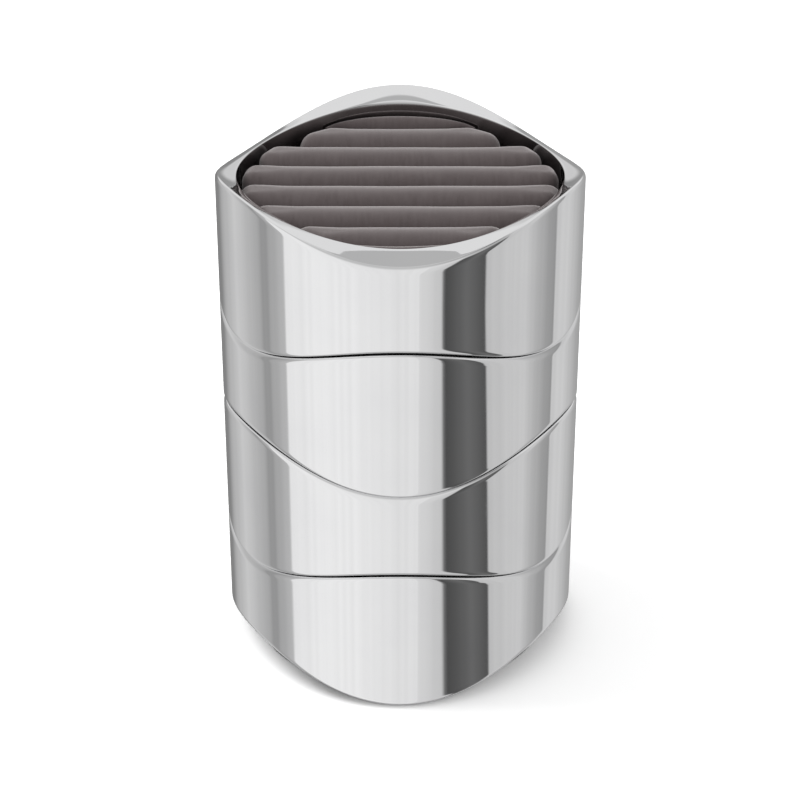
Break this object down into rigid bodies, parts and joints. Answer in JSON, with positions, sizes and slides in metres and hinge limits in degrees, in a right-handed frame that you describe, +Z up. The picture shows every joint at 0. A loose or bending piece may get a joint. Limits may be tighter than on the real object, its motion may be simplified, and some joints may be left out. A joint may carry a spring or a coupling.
{
  "type": "jewelry organizer",
  "caption": "Round stacking jewelry tower of lift-off chrome tiers with waved rims that nest; the open top tier holds a velvet ring cushion, the tiers below hold trays.",
  "frame": {"origin": "on the table, under the axis of the tower", "axes": "+Z up along the axis of the tower, -Y towards the front, +X to the right as seen from the front"},
  "size_m": [0.114, 0.114, 0.1677],
  "materials": {
    "chrome": "polished",
    "black_plastic": "matte",
    "silicone": "matte",
    "flock": "flocked",
    "velvet": "velvet"
  },
  "bodies": {
    "base_tier": {"base_shell": "chrome", "base_floor": "black_plastic", "base_gasket": "silicone", "front_foot": "silicone", "left_foot": "silicone", "right_foot": "silicone", "base_tray": "flock", "base_pad": "velvet"},
    "lower_tier": {"lower_shell": "chrome", "lower_floor": "black_plastic", "lower_gasket": "silicone", "lower_tray": "flock", "lower_divider": "flock"},
    "upper_tier": {"upper_shell": "chrome", "upper_floor": "black_plastic", "upper_gasket": "silicone", "upper_tray": "flock", "upper_long_divider": "flock", "upper_cross_divider": "flock"},
    "top_tier": {"top_shell": "chrome", "top_floor": "black_plastic", "top_gasket": "silicone"},
    "ring_cushion": {"ring_board": "black_plastic", "ring_foam": "velvet", "ring_roll_1": "velvet", "ring_roll_2": "velvet", "ring_roll_3": "velvet", "ring_roll_4": "velvet", "ring_roll_5": "velvet", "ring_roll_6": "velvet", "ring_roll_7": "velvet", "ring_roll_8": "velvet"}
  },
  "joints": [
    {"name": "lower_lift", "type": "slide", "parent": "base_tier", "child": "lower_tier", "axis": [0, 0, 1], "range_m": [0, 0.03]},
    {"name": "upper_lift", "type": "slide", "parent": "lower_tier", "child": "upper_tier", "axis": [0, 0, 1], "range_m": [0, 0.03]},
    {"name": "top_lift", "type": "slide", "parent": "upper_tier", "child": "top_tier", "axis": [0, 0, 1], "range_m": [0, 0.03]},
    {"name": "cushion_lift", "type": "slide", "parent": "top_tier", "child": "ring_cushion", "axis": [0, 0, 1], "range_m": [0, 0.045]}
  ]
}
